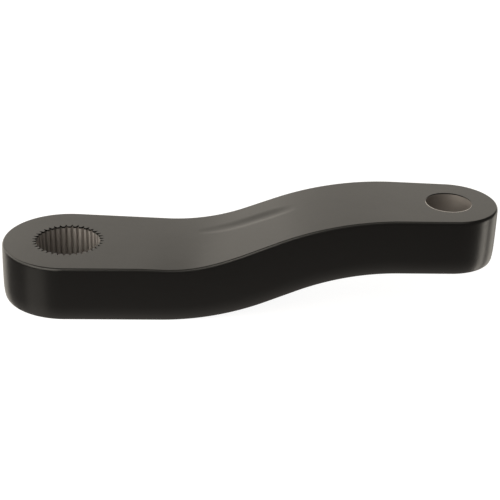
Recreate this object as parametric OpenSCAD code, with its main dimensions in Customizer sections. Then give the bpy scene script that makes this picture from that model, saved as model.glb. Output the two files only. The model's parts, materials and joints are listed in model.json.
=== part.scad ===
// Pitman arm: a forged flat steel bar that steps up between two eyes.
// Millimetres, +Z up. The origin is on the axis of the serrated hole, in the
// plane of the big eye's lower face. +X runs to the small eye.

/* [Eyes] */
// Distance between the axes of the two holes
centre_distance = 200; // [150:1:260]
// Outside diameter of the big eye, around the serrated hole
big_eye_d = 69.5; // [60:0.5:90]
// Outside diameter of the small eye, around the tapered hole
small_eye_d = 51.5; // [40:0.5:60]

/* [Bar] */
// Thickness of the bar, the same along its whole length
thickness = 29.5; // [20:0.5:40]
// Radius of the rounded edges around the upper and lower faces
edge_r = 1.2; // [0.5:0.1:3]

/* [Step] */
// How far the small eye's faces stand above the big eye's
drop = 28; // [15:0.5:40]
// Where the first bend starts, from the axis of the serrated hole
first_bend_start = 51; // [45:0.5:60]
// Where the second bend ends, back from the axis of the tapered hole
second_bend_end = 26.5; // [20:0.5:35]
// Length of the straight slope between the bends
slope_length = 17; // [5:0.5:35]
// Share of the two bends' added radii that the first bend takes
first_bend_share = 0.4; // [0.3:0.01:0.6]

/* [Serrated hole] */
// Number of serrations
serrations = 36; // [24:1:48]
// Diameter over the roots of the serrations
root_d = 38; // [32:0.5:44]
// Depth of the serrations, from root to tip
serration_depth = 2; // [1:0.1:2.5]
// Width of the flat at a serration's tip
tip_flat = 1.3; // [0.6:0.05:1.5]
// Width of the flat at the root between two serrations
root_flat = 0.3; // [0.2:0.05:0.5]

/* [Tapered hole] */
// Diameter of the taper in the upper face of the small eye
taper_d = 24; // [18:0.25:30]
// Length over which the taper's diameter shrinks by one millimetre
taper_ratio = 8; // [6:0.5:12]
// Width of the edge break at both ends of the taper
taper_break = 0.4; // [0.2:0.1:1]

/* [Hidden] */

// How fine the curves are: flats round an eye's half turn, along the bends and over an edge
EYE_STEPS = 28;
BEND_STEPS = 36;
EDGE_STEPS = 3;
// Flats that a round hole is drawn with
HOLE_STEPS = 180;
// How far a cutting tool runs past the face it leaves
RUN_OUT = 1;
// How far the flanks of a serration gap run into the round hole, as a share of their length
FLANK_LEAD = 0.2;

big_r = big_eye_d / 2;
small_r = small_eye_d / 2;
tip_r = root_d / 2 - serration_depth;

// The bends: two arcs joined by the straight slope, both square to the bar's long axis
bend_from = first_bend_start;
bend_to = centre_distance - second_bend_end;
bend_run = bend_to - bend_from;
bend_radii = (bend_run ^ 2 + drop ^ 2 - slope_length ^ 2) / (2 * drop);
slope_angle = atan2(bend_run, bend_radii - drop) - atan2(slope_length, bend_radii);
first_bend_r = first_bend_share * bend_radii;
second_bend_r = bend_radii - first_bend_r;

// Height at x of the surface that lies a depth below the upper face, measured square to it
function bar_height(x, depth) =
    let (
        r1 = first_bend_r + depth,
        r2 = second_bend_r - depth,
        slope_from = bend_from + r1 * sin(slope_angle),
        slope_to = bend_to - r2 * sin(slope_angle),
        low = thickness - depth,
        high = low + drop
    )
    x <= bend_from ? low
    : x < slope_from ? low + r1 - sqrt(r1 ^ 2 - (x - bend_from) ^ 2)
    : x < slope_to ? low + r1 * (1 - cos(slope_angle)) + (x - slope_from) * tan(slope_angle)
    : x < bend_to ? high - r2 + sqrt(r2 ^ 2 - (bend_to - x) ^ 2)
    : high;

// The bar's plan is two eye arcs joined by straight sides that touch both.
// Each point is [x, y, normal x, normal y], along the +Y side from end to end.
side_angle = 90 - asin((big_r - small_r) / centre_distance);
function eye_point(x, r, angle) =
    [x + r * cos(angle), r * sin(angle), cos(angle), sin(angle)];
function side_point(x) =
    [x, (big_r - x * cos(side_angle)) / sin(side_angle), cos(side_angle), sin(side_angle)];
half_plan = [
    for (i = [0 : EYE_STEPS])
        eye_point(0, big_r, 180 - (180 - side_angle) * i / EYE_STEPS),
    for (i = [0 : BEND_STEPS])
        side_point(bend_from + bend_run * i / BEND_STEPS),
    for (i = [0 : EYE_STEPS])
        eye_point(centre_distance, small_r, side_angle * (1 - i / EYE_STEPS))
];
half_count = len(half_plan);
ring_count = 2 * half_count - 2;

// The ring of points round the bar, set in from its plan and at a depth below its upper face
function plan_ring(inset, depth) = [
    for (i = [0 : ring_count - 1])
        let (
            near_side = i >= half_count,
            p = half_plan[near_side ? ring_count - i : i],
            x = p[0] - inset * p[2],
            y = p[1] - inset * p[3]
        )
        [x, near_side ? -y : y, bar_height(x, depth)]
];
// [inset, depth] of each ring: round the lower edge, up the side, round the upper edge
edge_turns = [for (i = [0 : EDGE_STEPS]) 90 * i / EDGE_STEPS];
ring_places = [
    for (a = edge_turns) [edge_r * (1 - sin(a)), thickness - edge_r * (1 - cos(a))],
    for (a = edge_turns) [edge_r * (1 - cos(a)), edge_r * (1 - sin(a))]
];
top_ring = len(ring_places) - 1;

// A strip across the bar between one pair of plan points and the next
function cross_strip(ring, i) =
    let (
        from = ring * ring_count,
        far_a = from + i,
        far_b = from + i + 1,
        near_a = i == 0 ? far_a : from + ring_count - i,
        near_b = i == half_count - 2 ? far_b : from + ring_count - i - 1
    )
    i == 0 ? [far_a, far_b, near_b]
    : i == half_count - 2 ? [far_a, far_b, near_a]
    : [far_a, far_b, near_b, near_a];
function turned_over(face) = [for (i = [len(face) - 1 : -1 : 0]) face[i]];

// The forged bar before its holes are cut
module bar() {
    polyhedron(
        points = [for (place = ring_places) each plan_ring(place[0], place[1])],
        faces = [
            for (i = [0 : half_count - 2]) turned_over(cross_strip(0, i)),
            for (ring = [0 : top_ring - 1], i = [0 : ring_count - 1])
                let (
                    here = ring * ring_count + i,
                    next = ring * ring_count + (i + 1) % ring_count
                )
                [here, next, next + ring_count, here + ring_count],
            for (i = [0 : half_count - 2]) cross_strip(top_ring, i)
        ],
        convexity = 4
    );
}

// The serrated hole: a round hole at the tips, with a V gap cut out to the roots between each pair
gap_half_angle = 180 / serrations - asin(tip_flat / 2 / tip_r);
gap_mouth = [tip_r * cos(gap_half_angle), tip_r * sin(gap_half_angle)];
gap_root = [sqrt((root_d / 2) ^ 2 - (root_flat / 2) ^ 2), root_flat / 2];
gap_start = gap_mouth + FLANK_LEAD * (gap_mouth - gap_root);
module serrated_hole() {
    translate([0, 0, -RUN_OUT])
        linear_extrude(thickness + 2 * RUN_OUT) {
            circle(r = tip_r, $fn = HOLE_STEPS);
            for (i = [0 : serrations - 1])
                rotate(360 * i / serrations)
                    polygon([
                        gap_start,
                        gap_root,
                        [gap_root[0], -gap_root[1]],
                        [gap_start[0], -gap_start[1]]
                    ]);
        }
}

// Radius of the tapered hole at a height above the small eye's lower face
function taper_r(height) = taper_d / 2 - (thickness - height) / (2 * taper_ratio);
// The tapered hole, widest in the upper face, with both its edges broken
module tapered_hole() {
    low_r = taper_r(taper_break);
    high_r = taper_r(thickness - taper_break);
    flare = taper_break + RUN_OUT;
    translate([centre_distance, 0, drop])
        rotate_extrude($fn = HOLE_STEPS)
            polygon([
                [0, -RUN_OUT],
                [low_r + flare, -RUN_OUT],
                [low_r, taper_break],
                [high_r, thickness - taper_break],
                [high_r + flare, thickness + RUN_OUT],
                [0, thickness + RUN_OUT]
            ]);
}

module pitman_arm() {
    color("#2b2a28")
        difference() {
            bar();
            serrated_hole();
            tapered_hole();
        }
}

pitman_arm();
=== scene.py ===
import json
import math

import bmesh
import bpy
from mathutils import Matrix, Vector


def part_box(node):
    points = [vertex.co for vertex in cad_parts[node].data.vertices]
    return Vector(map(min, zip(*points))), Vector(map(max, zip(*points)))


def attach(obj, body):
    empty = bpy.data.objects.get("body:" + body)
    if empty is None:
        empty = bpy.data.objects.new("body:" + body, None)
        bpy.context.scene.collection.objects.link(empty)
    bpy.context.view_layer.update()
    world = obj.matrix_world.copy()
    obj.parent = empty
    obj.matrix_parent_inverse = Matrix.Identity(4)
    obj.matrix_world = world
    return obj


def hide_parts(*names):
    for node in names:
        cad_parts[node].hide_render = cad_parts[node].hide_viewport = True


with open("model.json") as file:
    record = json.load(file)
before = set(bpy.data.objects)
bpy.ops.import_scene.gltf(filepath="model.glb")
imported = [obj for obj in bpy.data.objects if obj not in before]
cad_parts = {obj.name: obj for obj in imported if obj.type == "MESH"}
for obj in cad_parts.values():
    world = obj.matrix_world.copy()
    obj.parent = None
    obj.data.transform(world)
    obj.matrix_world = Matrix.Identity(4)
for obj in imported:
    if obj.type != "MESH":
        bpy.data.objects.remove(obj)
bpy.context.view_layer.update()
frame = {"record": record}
scene = bpy.context.scene

# The view: a long lens 0.7 m off that looks down on the arm from its near side,
# square to the arm's length but for a small turn to the side and a small roll.
look_down = math.radians(25.818)
look_aside = math.radians(1.105)
roll = math.radians(2.103)
aim = Vector((0.1, 0, 0))
# How far the camera stands from that point: across, up and back, in its own directions
stand_off = Vector((-0.00235, 0.02395, 0.70494))
focal_length = 93.58
film_width = 36

camera = bpy.data.objects.new("camera", bpy.data.cameras.new("camera"))
camera.data.sensor_width = film_width
camera.data.lens = focal_length
camera.matrix_world = (
    Matrix.Translation(aim)
    @ Matrix.Rotation(-look_aside, 4, "Z")
    @ Matrix.Rotation(math.pi / 2 - look_down, 4, "X")
    @ Matrix.Rotation(roll, 4, "Z")
    @ Matrix.Translation(stand_off)
)
scene.collection.objects.link(camera)
scene.camera = camera

# The arm: one flat steel bar, hot forged to its plan, bent up in a step between its two eyes
# and coated satin black. Both holes are machined after that, so their walls are bare steel.
mounts = {mount["name"]: mount for mount in frame["record"]["mounts"]}
low_corner, high_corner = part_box("pitman_arm")
thickness = mounts["serrated_hole"]["dims"]["length_mm"] / 1000
tip_r = mounts["serrated_hole"]["dims"]["r_mm"] / 1000
centre_distance = mounts["tapered_hole"]["pos_m"][0]
big_r = -low_corner.x
small_r = high_corner.x - centre_distance
drop = high_corner.z - thickness
# The angle from the bar's length, about either eye's axis, at which a straight side touches the eye
side_angle = math.acos((big_r - small_r) / centre_distance)

# The step: two arcs joined by a straight slope, both square to the bar's length
first_bend_start = 0.051
second_bend_end = 0.0265
slope_length = 0.017
first_bend_share = 0.4
bend_to = centre_distance - second_bend_end
bend_run = bend_to - first_bend_start
bend_radii = (bend_run**2 + drop**2 - slope_length**2) / (2 * drop)
slope_angle = math.atan2(bend_run, bend_radii - drop) - math.atan2(slope_length, bend_radii)
first_bend_r = first_bend_share * bend_radii
second_bend_r = bend_radii - first_bend_r


def bar_height(x, depth):
    """Height at x of the surface that lies a depth below the upper face, square to it."""
    lower_r = first_bend_r + depth
    upper_r = second_bend_r - depth
    slope_from = first_bend_start + lower_r * math.sin(slope_angle)
    slope_to = bend_to - upper_r * math.sin(slope_angle)
    low = thickness - depth
    if x <= first_bend_start:
        return low
    if x < slope_from:
        return low + lower_r - math.sqrt(lower_r**2 - (x - first_bend_start) ** 2)
    if x < slope_to:
        climb = (x - slope_from) * math.tan(slope_angle)
        return low + lower_r * (1 - math.cos(slope_angle)) + climb
    if x < bend_to:
        return low + drop - upper_r + math.sqrt(upper_r**2 - (bend_to - x) ** 2)
    return low + drop


def smooth_hump(place):
    """Falls smoothly from 1 at place 0 to 0 at places -1 and 1, and stays 0 past them."""
    return 0.5 + 0.5 * math.cos(math.pi * max(-1, min(1, place)))


# The die mark: a shallow spindle-shaped hollow along the slope, on the far half of its face.
# It reaches further down the slope than up it, and its near flank is the steeper one.
mark_middle = Vector((0.104, 0.0086))
mark_turn = math.radians(-5)
mark_reach_low = 0.036
mark_reach_high = 0.0165
mark_far_width = 0.0075
mark_near_width = 0.0058
mark_depth = 0.00062
# The power at which it narrows towards its ends: the smaller, the blunter they are
mark_narrowing = 0.25


def mark_hollow(x, y):
    """Depth of the die mark at a point of the upper face."""
    spot = Matrix.Rotation(-mark_turn, 2) @ (Vector((x, y)) - mark_middle)
    along = spot.x / (mark_reach_high if spot.x > 0 else mark_reach_low)
    if abs(along) >= 1:
        return 0
    fade = 1 - along**2
    half_width = (mark_far_width if spot.y > 0 else mark_near_width) * fade**mark_narrowing
    return mark_depth * fade * smooth_hump(spot.y / half_width)


# The sag: the upper face sinks towards its near edge, at the inside of the first bend.
# It fades away down the near side, and towards the far half of the face.
sag_middle = 0.064
sag_reach = 0.028
sag_width = 0.055
sag_depth = 0.0008
sag_fade = 0.008


def bend_sag(x, y, depth):
    """How far the sag lowers a point of the bar that lies a depth below its upper face."""
    along = smooth_hump((x - sag_middle) / sag_reach)
    inward = big_r - x * math.cos(side_angle) + y * math.sin(side_angle)
    across = max(0, 1 - inward / sag_width)
    down = max(0, 1 - depth / sag_fade)
    return sag_depth * along * across**2 * down


# The bar's section at its rim, as the dies left it: the upper edge is rounded, the side bulges
# a little and draws in towards the lower face. Each place is (inset, height above the lower face).
upper_edge_in = 0.0011
upper_edge_down = 0.0019
lower_edge_in = 0.0009
lower_edge_up = 0.008
side_bulge = 0.00015
edge_steps = 12
side_steps = 10
edge_turns = [math.pi / 2 * step / edge_steps for step in range(edge_steps + 1)]
lower_edge = [
    (lower_edge_in * (1 - math.sin(turn)), lower_edge_up * (1 - math.cos(turn)))
    for turn in edge_turns
]
upper_edge = [
    (upper_edge_in * (1 - math.sin(turn)), thickness - upper_edge_down * (1 - math.cos(turn)))
    for turn in reversed(edge_turns)
]
side_height = thickness - lower_edge_up - upper_edge_down
side = [(0, lower_edge_up + side_height * step / side_steps) for step in range(1, side_steps)]
section = [
    (inset + side_bulge * (2 * height / thickness - 1) ** 2, height)
    for inset, height in lower_edge + side + upper_edge
]

# The bar's plan: the section is swept round each eye, and straight sides touch both
eye_steps = 96
bar = bmesh.new()


def draw_chain(shape, places):
    """Draws a chain of edges through some places, and gives its points and its edges."""
    points = [shape.verts.new(place) for place in places]
    return points, [shape.edges.new(pair) for pair in zip(points, points[1:])]


def eye_wall(x, r, start, turn):
    """Sweeps the section round an eye and gives the edges where the wall begins and ends."""
    outward = Vector((math.cos(start), math.sin(start), 0))
    points, begin = draw_chain(
        bar, [Vector((x, 0, height)) + (r - inset) * outward for inset, height in section]
    )
    swept = bmesh.ops.spin(
        bar,
        geom=points + begin,
        cent=(x, 0, 0),
        axis=(0, 0, 1),
        angle=turn,
        steps=eye_steps,
    )
    return begin, [item for item in swept["geom_last"] if isinstance(item, bmesh.types.BMEdge)]


big_begin, big_end = eye_wall(0, big_r, side_angle, 2 * (math.pi - side_angle))
small_begin, small_end = eye_wall(centre_distance, small_r, -side_angle, 2 * side_angle)
bmesh.ops.bridge_loops(bar, edges=big_end + small_begin)
bmesh.ops.bridge_loops(bar, edges=small_end + big_begin)
bmesh.ops.holes_fill(bar, edges=[edge for edge in bar.edges if edge.is_boundary], sides=0)
bmesh.ops.recalc_face_normals(bar, faces=bar.faces[:])

# Cuts across the bar where it sags and bends, then along its upper face over the mark and the sag
cross_cuts = 94
mark_cuts = 40
sag_cuts = 18
mark_span = 0.02
cuts_from = sag_middle - sag_reach
near_normal = Vector((math.cos(side_angle), -math.sin(side_angle), 0))
# A face whose normal rises at least so steeply is part of the upper face
upright = 0.999
# Points closer than this count as one
tiny = 1e-6


def cut_upper_face(x_from, x_to, point, normal):
    """Cuts the upper face along a line through a point, between two places along the bar."""
    faces = [
        face
        for face in bar.faces
        if face.normal.z > upright and x_from < face.calc_center_median().x < x_to
    ]
    edges = dict.fromkeys(edge for face in faces for edge in face.edges)
    corners = dict.fromkeys(corner for face in faces for corner in face.verts)
    bmesh.ops.bisect_plane(
        bar, geom=faces + list(edges) + list(corners), plane_co=point, plane_no=normal
    )


for step in range(cross_cuts + 1):
    cut_x = cuts_from + (bend_to - cuts_from) * step / cross_cuts
    bmesh.ops.bisect_plane(
        bar,
        geom=bar.verts[:] + bar.edges[:] + bar.faces[:],
        plane_co=(cut_x, 0, 0),
        plane_no=(1, 0, 0),
    )
for step in range(mark_cuts + 1):
    cut_upper_face(
        mark_middle.x - mark_reach_low,
        mark_middle.x + mark_reach_high,
        (0, mark_middle.y + mark_span * (step / mark_cuts - 0.5), 0),
        (0, 1, 0),
    )
for step in range(1, sag_cuts + 1):
    cut_upper_face(
        cuts_from,
        sag_middle + sag_reach,
        near_normal * (big_r - upper_edge_in - sag_width * step / sag_cuts),
        near_normal,
    )

# The flat bar is bent to its step, with the mark and the sag pressed into it
for point in bar.verts:
    depth = thickness - point.co.z
    hollow = mark_hollow(point.co.x, point.co.y) if depth < tiny else 0
    sag = bend_sag(point.co.x, point.co.y, depth)
    point.co.z = bar_height(point.co.x, depth) - hollow - sag
bmesh.ops.recalc_face_normals(bar, faces=bar.faces[:])

# The serrated hole's cutter: one gap and one tip, repeated round the axis and drawn through the eye
serrations = 36
serration_depth = 0.002
tip_flat = 0.0013
root_flat = 0.0003
run_out = 0.001
pitch = 2 * math.pi / serrations
gap_half_angle = pitch / 2 - math.asin(tip_flat / 2 / tip_r)
root_r = tip_r + serration_depth
root_x = math.sqrt(root_r**2 - (root_flat / 2) ** 2)
serrated_cutter = bmesh.new()
outline = [
    Matrix.Rotation(-gap_half_angle, 3, "Z") @ Vector((tip_r, 0, 0)),
    Vector((root_x, -root_flat / 2, 0)),
    Vector((root_x, root_flat / 2, 0)),
    Matrix.Rotation(gap_half_angle, 3, "Z") @ Vector((tip_r, 0, 0)),
    Matrix.Rotation(pitch - gap_half_angle, 3, "Z") @ Vector((tip_r, 0, 0)),
]
draw_chain(serrated_cutter, [corner - Vector((0, 0, run_out)) for corner in outline])
bmesh.ops.spin(
    serrated_cutter,
    geom=serrated_cutter.verts[:] + serrated_cutter.edges[:],
    cent=(0, 0, 0),
    axis=(0, 0, 1),
    angle=2 * math.pi,
    steps=serrations,
    use_duplicate=True,
)
bmesh.ops.remove_doubles(serrated_cutter, verts=serrated_cutter.verts[:], dist=tiny)
bmesh.ops.contextual_create(serrated_cutter, geom=serrated_cutter.edges[:])
drawn = bmesh.ops.extrude_face_region(serrated_cutter, geom=serrated_cutter.faces[:])["geom"]
bmesh.ops.translate(
    serrated_cutter,
    verts=[item for item in drawn if isinstance(item, bmesh.types.BMVert)],
    vec=(0, 0, thickness + 2 * run_out),
)
bmesh.ops.recalc_face_normals(serrated_cutter, faces=serrated_cutter.faces[:])

# The tapered hole's cutter: a reamer with its taper, turned about the small eye's axis,
# which breaks the lower edge
taper_d = 0.024
taper_ratio = 8
lower_break = 0.0004
ream_steps = 128
wide_r = taper_d / 2
narrow_r = wide_r - thickness / (2 * taper_ratio)
past_r = wide_r + run_out / (2 * taper_ratio)
profile = [
    Vector((0, 0, -run_out)),
    Vector((narrow_r + lower_break + run_out, 0, -run_out)),
    Vector((narrow_r, 0, lower_break)),
    Vector((past_r, 0, thickness + run_out)),
    Vector((0, 0, thickness + run_out)),
]
reamer = bmesh.new()
draw_chain(reamer, [corner + Vector((centre_distance, 0, drop)) for corner in profile])
bmesh.ops.spin(
    reamer,
    geom=reamer.verts[:] + reamer.edges[:],
    cent=(centre_distance, 0, 0),
    axis=(0, 0, 1),
    angle=2 * math.pi,
    steps=ream_steps,
    use_merge=True,
)
bmesh.ops.remove_doubles(reamer, verts=reamer.verts[:], dist=tiny)
bmesh.ops.recalc_face_normals(reamer, faces=reamer.faces[:])

# The tapered hole's rim: the punch drew its far edge down, and its near edge was deburred. Both are
# cut by a flat cone that stands a little to that side. The far cut keeps the coat's black as a
# painted shade, and the near cut is bright smooth steel as a painted highlight.
rim_reach_out = 0.0001
rim_reach_in = 0.001
rim_r = wide_r + rim_reach_out
rim_low_r = wide_r - rim_reach_in
# How far each cone stands aside, and the angle of its wall to the upper face
rim_cuts = {
    "far_shade_edge": (Vector((0, 0.0005, 0)), math.radians(30)),
    "near_highlight_edge": (Vector((-0.00015, -0.0005, 0)), math.radians(10)),
}
rim_cutters = {}
for name, (aside, lean) in rim_cuts.items():
    rim_depth = (rim_r - rim_low_r) * math.tan(lean)
    rim_middle = Vector((centre_distance, 0, high_corner.z + (run_out - rim_depth) / 2))
    rim_cutters[name] = bmesh.new()
    bmesh.ops.create_cone(
        rim_cutters[name],
        cap_ends=True,
        segments=ream_steps,
        radius1=rim_low_r,
        radius2=rim_r + run_out / math.tan(lean),
        depth=rim_depth + run_out,
        matrix=Matrix.Translation(rim_middle + aside),
    )


class Wire:
    """An output socket in a node tree, so that shader maths reads as plain expressions."""

    def __init__(self, socket):
        self.socket = socket

    def math(self, operation, first, second):
        return add_node(
            self.socket.id_data, "ShaderNodeMath", {"operation": operation}, {0: first, 1: second}
        )

    def __add__(self, other):
        return self.math("ADD", self, other)

    def __sub__(self, other):
        return self.math("SUBTRACT", self, other)

    def __rsub__(self, other):
        return self.math("SUBTRACT", other, self)

    def __mul__(self, other):
        return self.math("MULTIPLY", self, other)

    __radd__ = __add__
    __rmul__ = __mul__


def add_node(tree, kind, settings, sockets, output=0):
    """Adds a node, sets it up, fills or links its sockets and gives one of its outputs."""
    node = tree.nodes.new(kind)
    for name, value in settings.items():
        setattr(node, name, value)
    for name, value in sockets.items():
        if isinstance(value, Wire):
            tree.links.new(value.socket, node.inputs[name])
        else:
            node.inputs[name].default_value = value
    return Wire(node.outputs[output]) if node.outputs else None


def mix_tones(tree, factor, first, second):
    """Mixes two colours: a Mix node takes them in sockets 6 and 7 and gives them in output 2."""
    sockets = {"Factor": factor, 6: first, 7: second}
    return add_node(tree, "ShaderNodeMix", {"data_type": "RGBA"}, sockets, 2)


def new_finish(name):
    """A new material with an empty node tree, and that tree."""
    material = bpy.data.materials.new(name)
    material.use_nodes = True
    material.node_tree.nodes.clear()
    return material, material.node_tree


def end_finish(tree, sockets):
    """Ends a material's node tree with its shader."""
    shader = add_node(tree, "ShaderNodeBsdfPrincipled", {}, sockets)
    add_node(tree, "ShaderNodeOutputMaterial", {}, {"Surface": shader})


# The coat: satin black with a warm cast, sprayed on a forged skin that is not quite flat
coat_dark = (0.0016, 0.0015, 0.0014, 1)
coat_light = (0.0026, 0.0024, 0.0022, 1)
coat_roughness = 0.26
spray_roughness = 0.08
black_coat, tree = new_finish("black_coat")
place = add_node(tree, "ShaderNodeTexCoord", {}, {}, "Object")
skin = add_node(tree, "ShaderNodeTexNoise", {}, {"Vector": place, "Scale": 38, "Detail": 3})
spray = add_node(tree, "ShaderNodeTexNoise", {}, {"Vector": place, "Scale": 900, "Detail": 2})
skin_bump = add_node(
    tree, "ShaderNodeBump", {}, {"Height": skin, "Strength": 0.25, "Distance": 0.0004}
)
spray_bump = add_node(
    tree,
    "ShaderNodeBump",
    {},
    {"Height": spray, "Strength": 0.12, "Distance": 0.00004, "Normal": skin_bump},
)
end_finish(
    tree,
    {
        "Base Color": mix_tones(tree, skin, coat_dark, coat_light),
        "Roughness": coat_roughness + spray_roughness * spray,
        "IOR": 1.5,
        "Normal": spray_bump,
    },
)

# The machined steel: how much its tool marks roughen it, and a painted shade: a band as dark as
# the coat, painted round the top of the serrated hole's wall, down to an edge that is ragged and a
# little soft
tool_roughness = 0.14
painted_shade_tone = (0.002, 0.0019, 0.0018, 1)
painted_shade_roughness = 0.3
painted_shade_down = 0.0012
painted_shade_ragged = 0.0004
painted_shade_soft = 0.0001


def machined_steel(name, mark_scale, dark_tone, light_tone, roughness, painted_shade_height):
    """Bare steel, with the fine marks that the tool left on it at so many to the metre.

    A painted shade, as dark as the coat, covers it above the height of the shade's edge.
    """
    material, tree = new_finish(name)
    place = add_node(tree, "ShaderNodeTexCoord", {}, {}, "Object")
    drawn_out = add_node(tree, "ShaderNodeMapping", {}, {"Vector": place, "Scale": mark_scale})
    marks = add_node(tree, "ShaderNodeTexNoise", {}, {"Vector": drawn_out, "Scale": 1, "Detail": 3})
    height = add_node(tree, "ShaderNodeSeparateXYZ", {}, {"Vector": place}, "Z")
    ragged = add_node(tree, "ShaderNodeTexNoise", {}, {"Vector": place, "Scale": 500, "Detail": 2})
    # The painted shade's mask: 1 above its ragged, soft edge and 0 below it
    painted_shade_mask = add_node(
        tree,
        "ShaderNodeMapRange",
        {},
        {
            "Value": height - painted_shade_ragged * ragged,
            "From Min": painted_shade_height,
            "From Max": painted_shade_height + painted_shade_soft,
        },
    )
    bare_tone = mix_tones(tree, marks, dark_tone, light_tone)
    bare_roughness = roughness + tool_roughness * marks
    bump = add_node(
        tree, "ShaderNodeBump", {}, {"Height": marks, "Strength": 0.3, "Distance": 0.00005}
    )
    end_finish(
        tree,
        {
            "Base Color": mix_tones(tree, painted_shade_mask, bare_tone, painted_shade_tone),
            "Metallic": 1 - painted_shade_mask,
            "Roughness": bare_roughness + painted_shade_mask * (painted_shade_roughness - bare_roughness),
            "Normal": bump,
        },
    )
    return material


# Broached along the serrations, reamed round the taper, and painted highlight steel at the taper's
# near rim.
# The last two get no painted shade, so the shade's edge lies in the upper face there.
broached_steel = machined_steel(
    "broached_steel",
    (1400, 1400, 60),
    (0.46, 0.44, 0.425, 1),
    (0.54, 0.515, 0.50, 1),
    0.58,
    thickness - painted_shade_down,
)
reamed_steel = machined_steel(
    "reamed_steel",
    (60, 60, 1400),
    (0.27, 0.255, 0.24, 1),
    (0.35, 0.325, 0.31, 1),
    0.58,
    high_corner.z,
)
# Bright smooth steel for the near cut of the taper's rim: a painted highlight
painted_highlight_steel = machined_steel(
    "painted_highlight_steel",
    (60, 60, 1400),
    (0.52, 0.50, 0.48, 1),
    (0.6, 0.575, 0.55, 1),
    0.22,
    high_corner.z,
)


def new_object(name, shape, material):
    """Turns a finished bmesh into an object with its material."""
    mesh = bpy.data.meshes.new(name)
    shape.to_mesh(mesh)
    shape.free()
    mesh.materials.append(material)
    thing = bpy.data.objects.new(name, mesh)
    scene.collection.objects.link(thing)
    return thing


# The holes are cut, each cutter leaving its own finish on the wall that it cuts
arm = new_object("forged_arm", bar, black_coat)
cutters = [
    new_object("serrated_cutter", serrated_cutter, broached_steel),
    new_object("reamer", reamer, reamed_steel),
    # The far rim cut keeps the coat as painted shade, and the near one gets bright steel as painted
    # highlight
    new_object("far_shade_edge", rim_cutters["far_shade_edge"], black_coat),
    new_object("near_highlight_edge", rim_cutters["near_highlight_edge"], painted_highlight_steel),
]
for cutter in cutters:
    cut = arm.modifiers.new(cutter.name, "BOOLEAN")
    cut.operation = "DIFFERENCE"
    cut.solver = "EXACT"
    cut.material_mode = "TRANSFER"
    cut.object = cutter
uncut_mesh = arm.data
arm.data = bpy.data.meshes.new_from_object(
    arm.evaluated_get(bpy.context.evaluated_depsgraph_get())
)
arm.modifiers.clear()
bpy.data.meshes.remove(uncut_mesh)
for cutter in cutters:
    bpy.data.meshes.remove(cutter.data)
sharp_angle = math.radians(9)
arm.data.shade_smooth()
arm.data.set_sharp_from_angle(angle=sharp_angle)
even = arm.modifiers.new("even_normals", "WEIGHTED_NORMAL")
even.keep_sharp = True
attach(arm, "root")
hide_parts("pitman_arm")

# The floor: a wide sheet of pale paper under the arm, bright enough to stay white round it.
# It neither lights the arm nor shows in its coat: the room and the low boxes do that.
floor_size = 6
floor_tone = (0.3, 0.3, 0.3, 1)
floor_glow = 0.92
sheet = bmesh.new()
bmesh.ops.create_grid(sheet, x_segments=1, y_segments=1, size=floor_size / 2)
pale_sheet, tree = new_finish("pale_sheet")
end_finish(
    tree,
    {
        "Base Color": floor_tone,
        "Roughness": 0.9,
        "Specular IOR Level": 0,
        "Emission Color": (1, 1, 1, 1),
        "Emission Strength": floor_glow,
    },
)
floor = new_object("floor", sheet, pale_sheet)
floor.visible_glossy = False
floor.visible_diffuse = False
floor.visible_shadow = False

# The shade: a dark card just under the floor, below the big eye and out of the camera's sight.
# It stands for the shadow in which the floor lies there, so that no light comes up the hole.
card_size = 0.05
card_depth = 0.0005
card_tone = (0.1, 0.1, 0.1, 1)
card = bmesh.new()
bmesh.ops.create_grid(
    card,
    x_segments=1,
    y_segments=1,
    size=card_size / 2,
    matrix=Matrix.Translation((0, 0, -card_depth)),
)
dark_card, tree = new_finish("dark_card")
end_finish(tree, {"Base Color": card_tone, "Roughness": 0.9, "Specular IOR Level": 0})
shade = new_object("shade", card, dark_card)
shade.visible_camera = False

# The lights: two white walls behind the arm, which its upper faces mirror, soft boxes at its left
# and front left that reach into the holes, and a fill over its front. Low boxes, under the level
# of the floor, show in its round ends.
warm_white = (1.0, 0.936, 0.828)
middle = Vector((centre_distance / 2, 0, thickness))
big_eye = Vector((0, 0, thickness / 2))
small_eye = Vector((centre_distance, 0, drop + thickness / 2))
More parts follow.
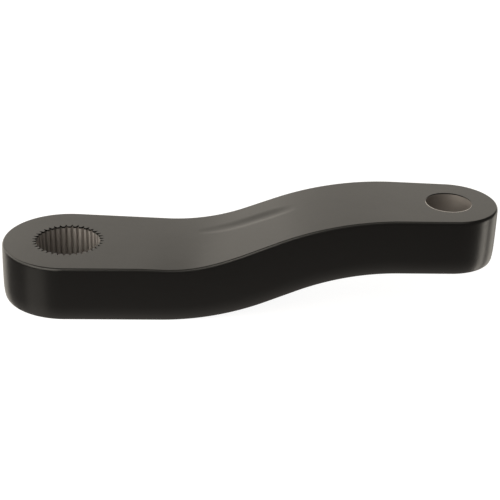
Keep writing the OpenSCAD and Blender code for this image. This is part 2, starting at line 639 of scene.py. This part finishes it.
# Each one's aim, azimuth and elevation in degrees, distance, width, height and brightness
soft_boxes = {
    "back_wall": (middle, 168, 11, 1.8, 1.95, 1.95, 0.94),
    "back_left_wall": (middle, 221, 11, 1.8, 1.6, 1.95, 1.0),
    "left_box": (big_eye, -95, 26, 1.0, 1.0, 0.73, 2.1),
    "front_left_box": (big_eye, -38, 26, 1.0, 1.0, 0.73, 3.2),
    "front_box": (middle, 10, 55, 1.0, 1.2, 0.7, 0.8),
    "low_left_box": (big_eye, -52, -26, 0.6, 0.35, 0.3, 0.5),
    "low_back_left_box": (big_eye, -155, -26, 0.6, 0.6, 0.4, 0.83),
    "low_right_box": (small_eye, 90, -26, 0.6, 0.17, 0.4, 2.8),
    "low_far_box": (small_eye, 128, -26, 0.6, 0.28, 0.4, 1.1),
}
for name, (aimed_at, azimuth, elevation, distance, width, height, brightness) in soft_boxes.items():
    light = bpy.data.lights.new(name, "AREA")
    light.shape = "RECTANGLE"
    light.size = width
    light.size_y = height
    light.energy = brightness * math.pi * width * height
    light.color = warm_white
    lamp = bpy.data.objects.new(name, light)
    lamp.matrix_world = (
        Matrix.Translation(aimed_at)
        @ Matrix.Rotation(math.radians(azimuth), 4, "Z")
        @ Matrix.Rotation(math.radians(90 - elevation), 4, "X")
        @ Matrix.Translation((0, 0, distance))
    )
    lamp.visible_camera = False
    scene.collection.objects.link(lamp)

# The room round the arm: dim, and brighter below, as if the arm mirrored the pale floor there.
# It brightens as the direction turns down from the one height to the other.
room_white = (1, 0.926, 0.843, 1)
dim_strength = 0.155
bright_strength = 0.85
dim_height = -0.45
bright_height = -0.75
scene.world = bpy.data.worlds.new("room")
scene.world.use_nodes = True
tree = scene.world.node_tree
tree.nodes.clear()
direction = add_node(tree, "ShaderNodeTexCoord", {}, {}, "Generated")
upward = add_node(tree, "ShaderNodeSeparateXYZ", {}, {"Vector": direction}, "Z")
strength = add_node(
    tree,
    "ShaderNodeMapRange",
    {"interpolation_type": "SMOOTHSTEP"},
    {
        "Value": upward,
        "From Min": dim_height,
        "From Max": bright_height,
        "To Min": dim_strength,
        "To Max": bright_strength,
    },
)
room_shader = add_node(
    tree, "ShaderNodeBackground", {}, {"Color": room_white, "Strength": strength}
)
add_node(tree, "ShaderNodeOutputWorld", {}, {"Surface": room_shader})
scene.view_settings.view_transform = "Standard"
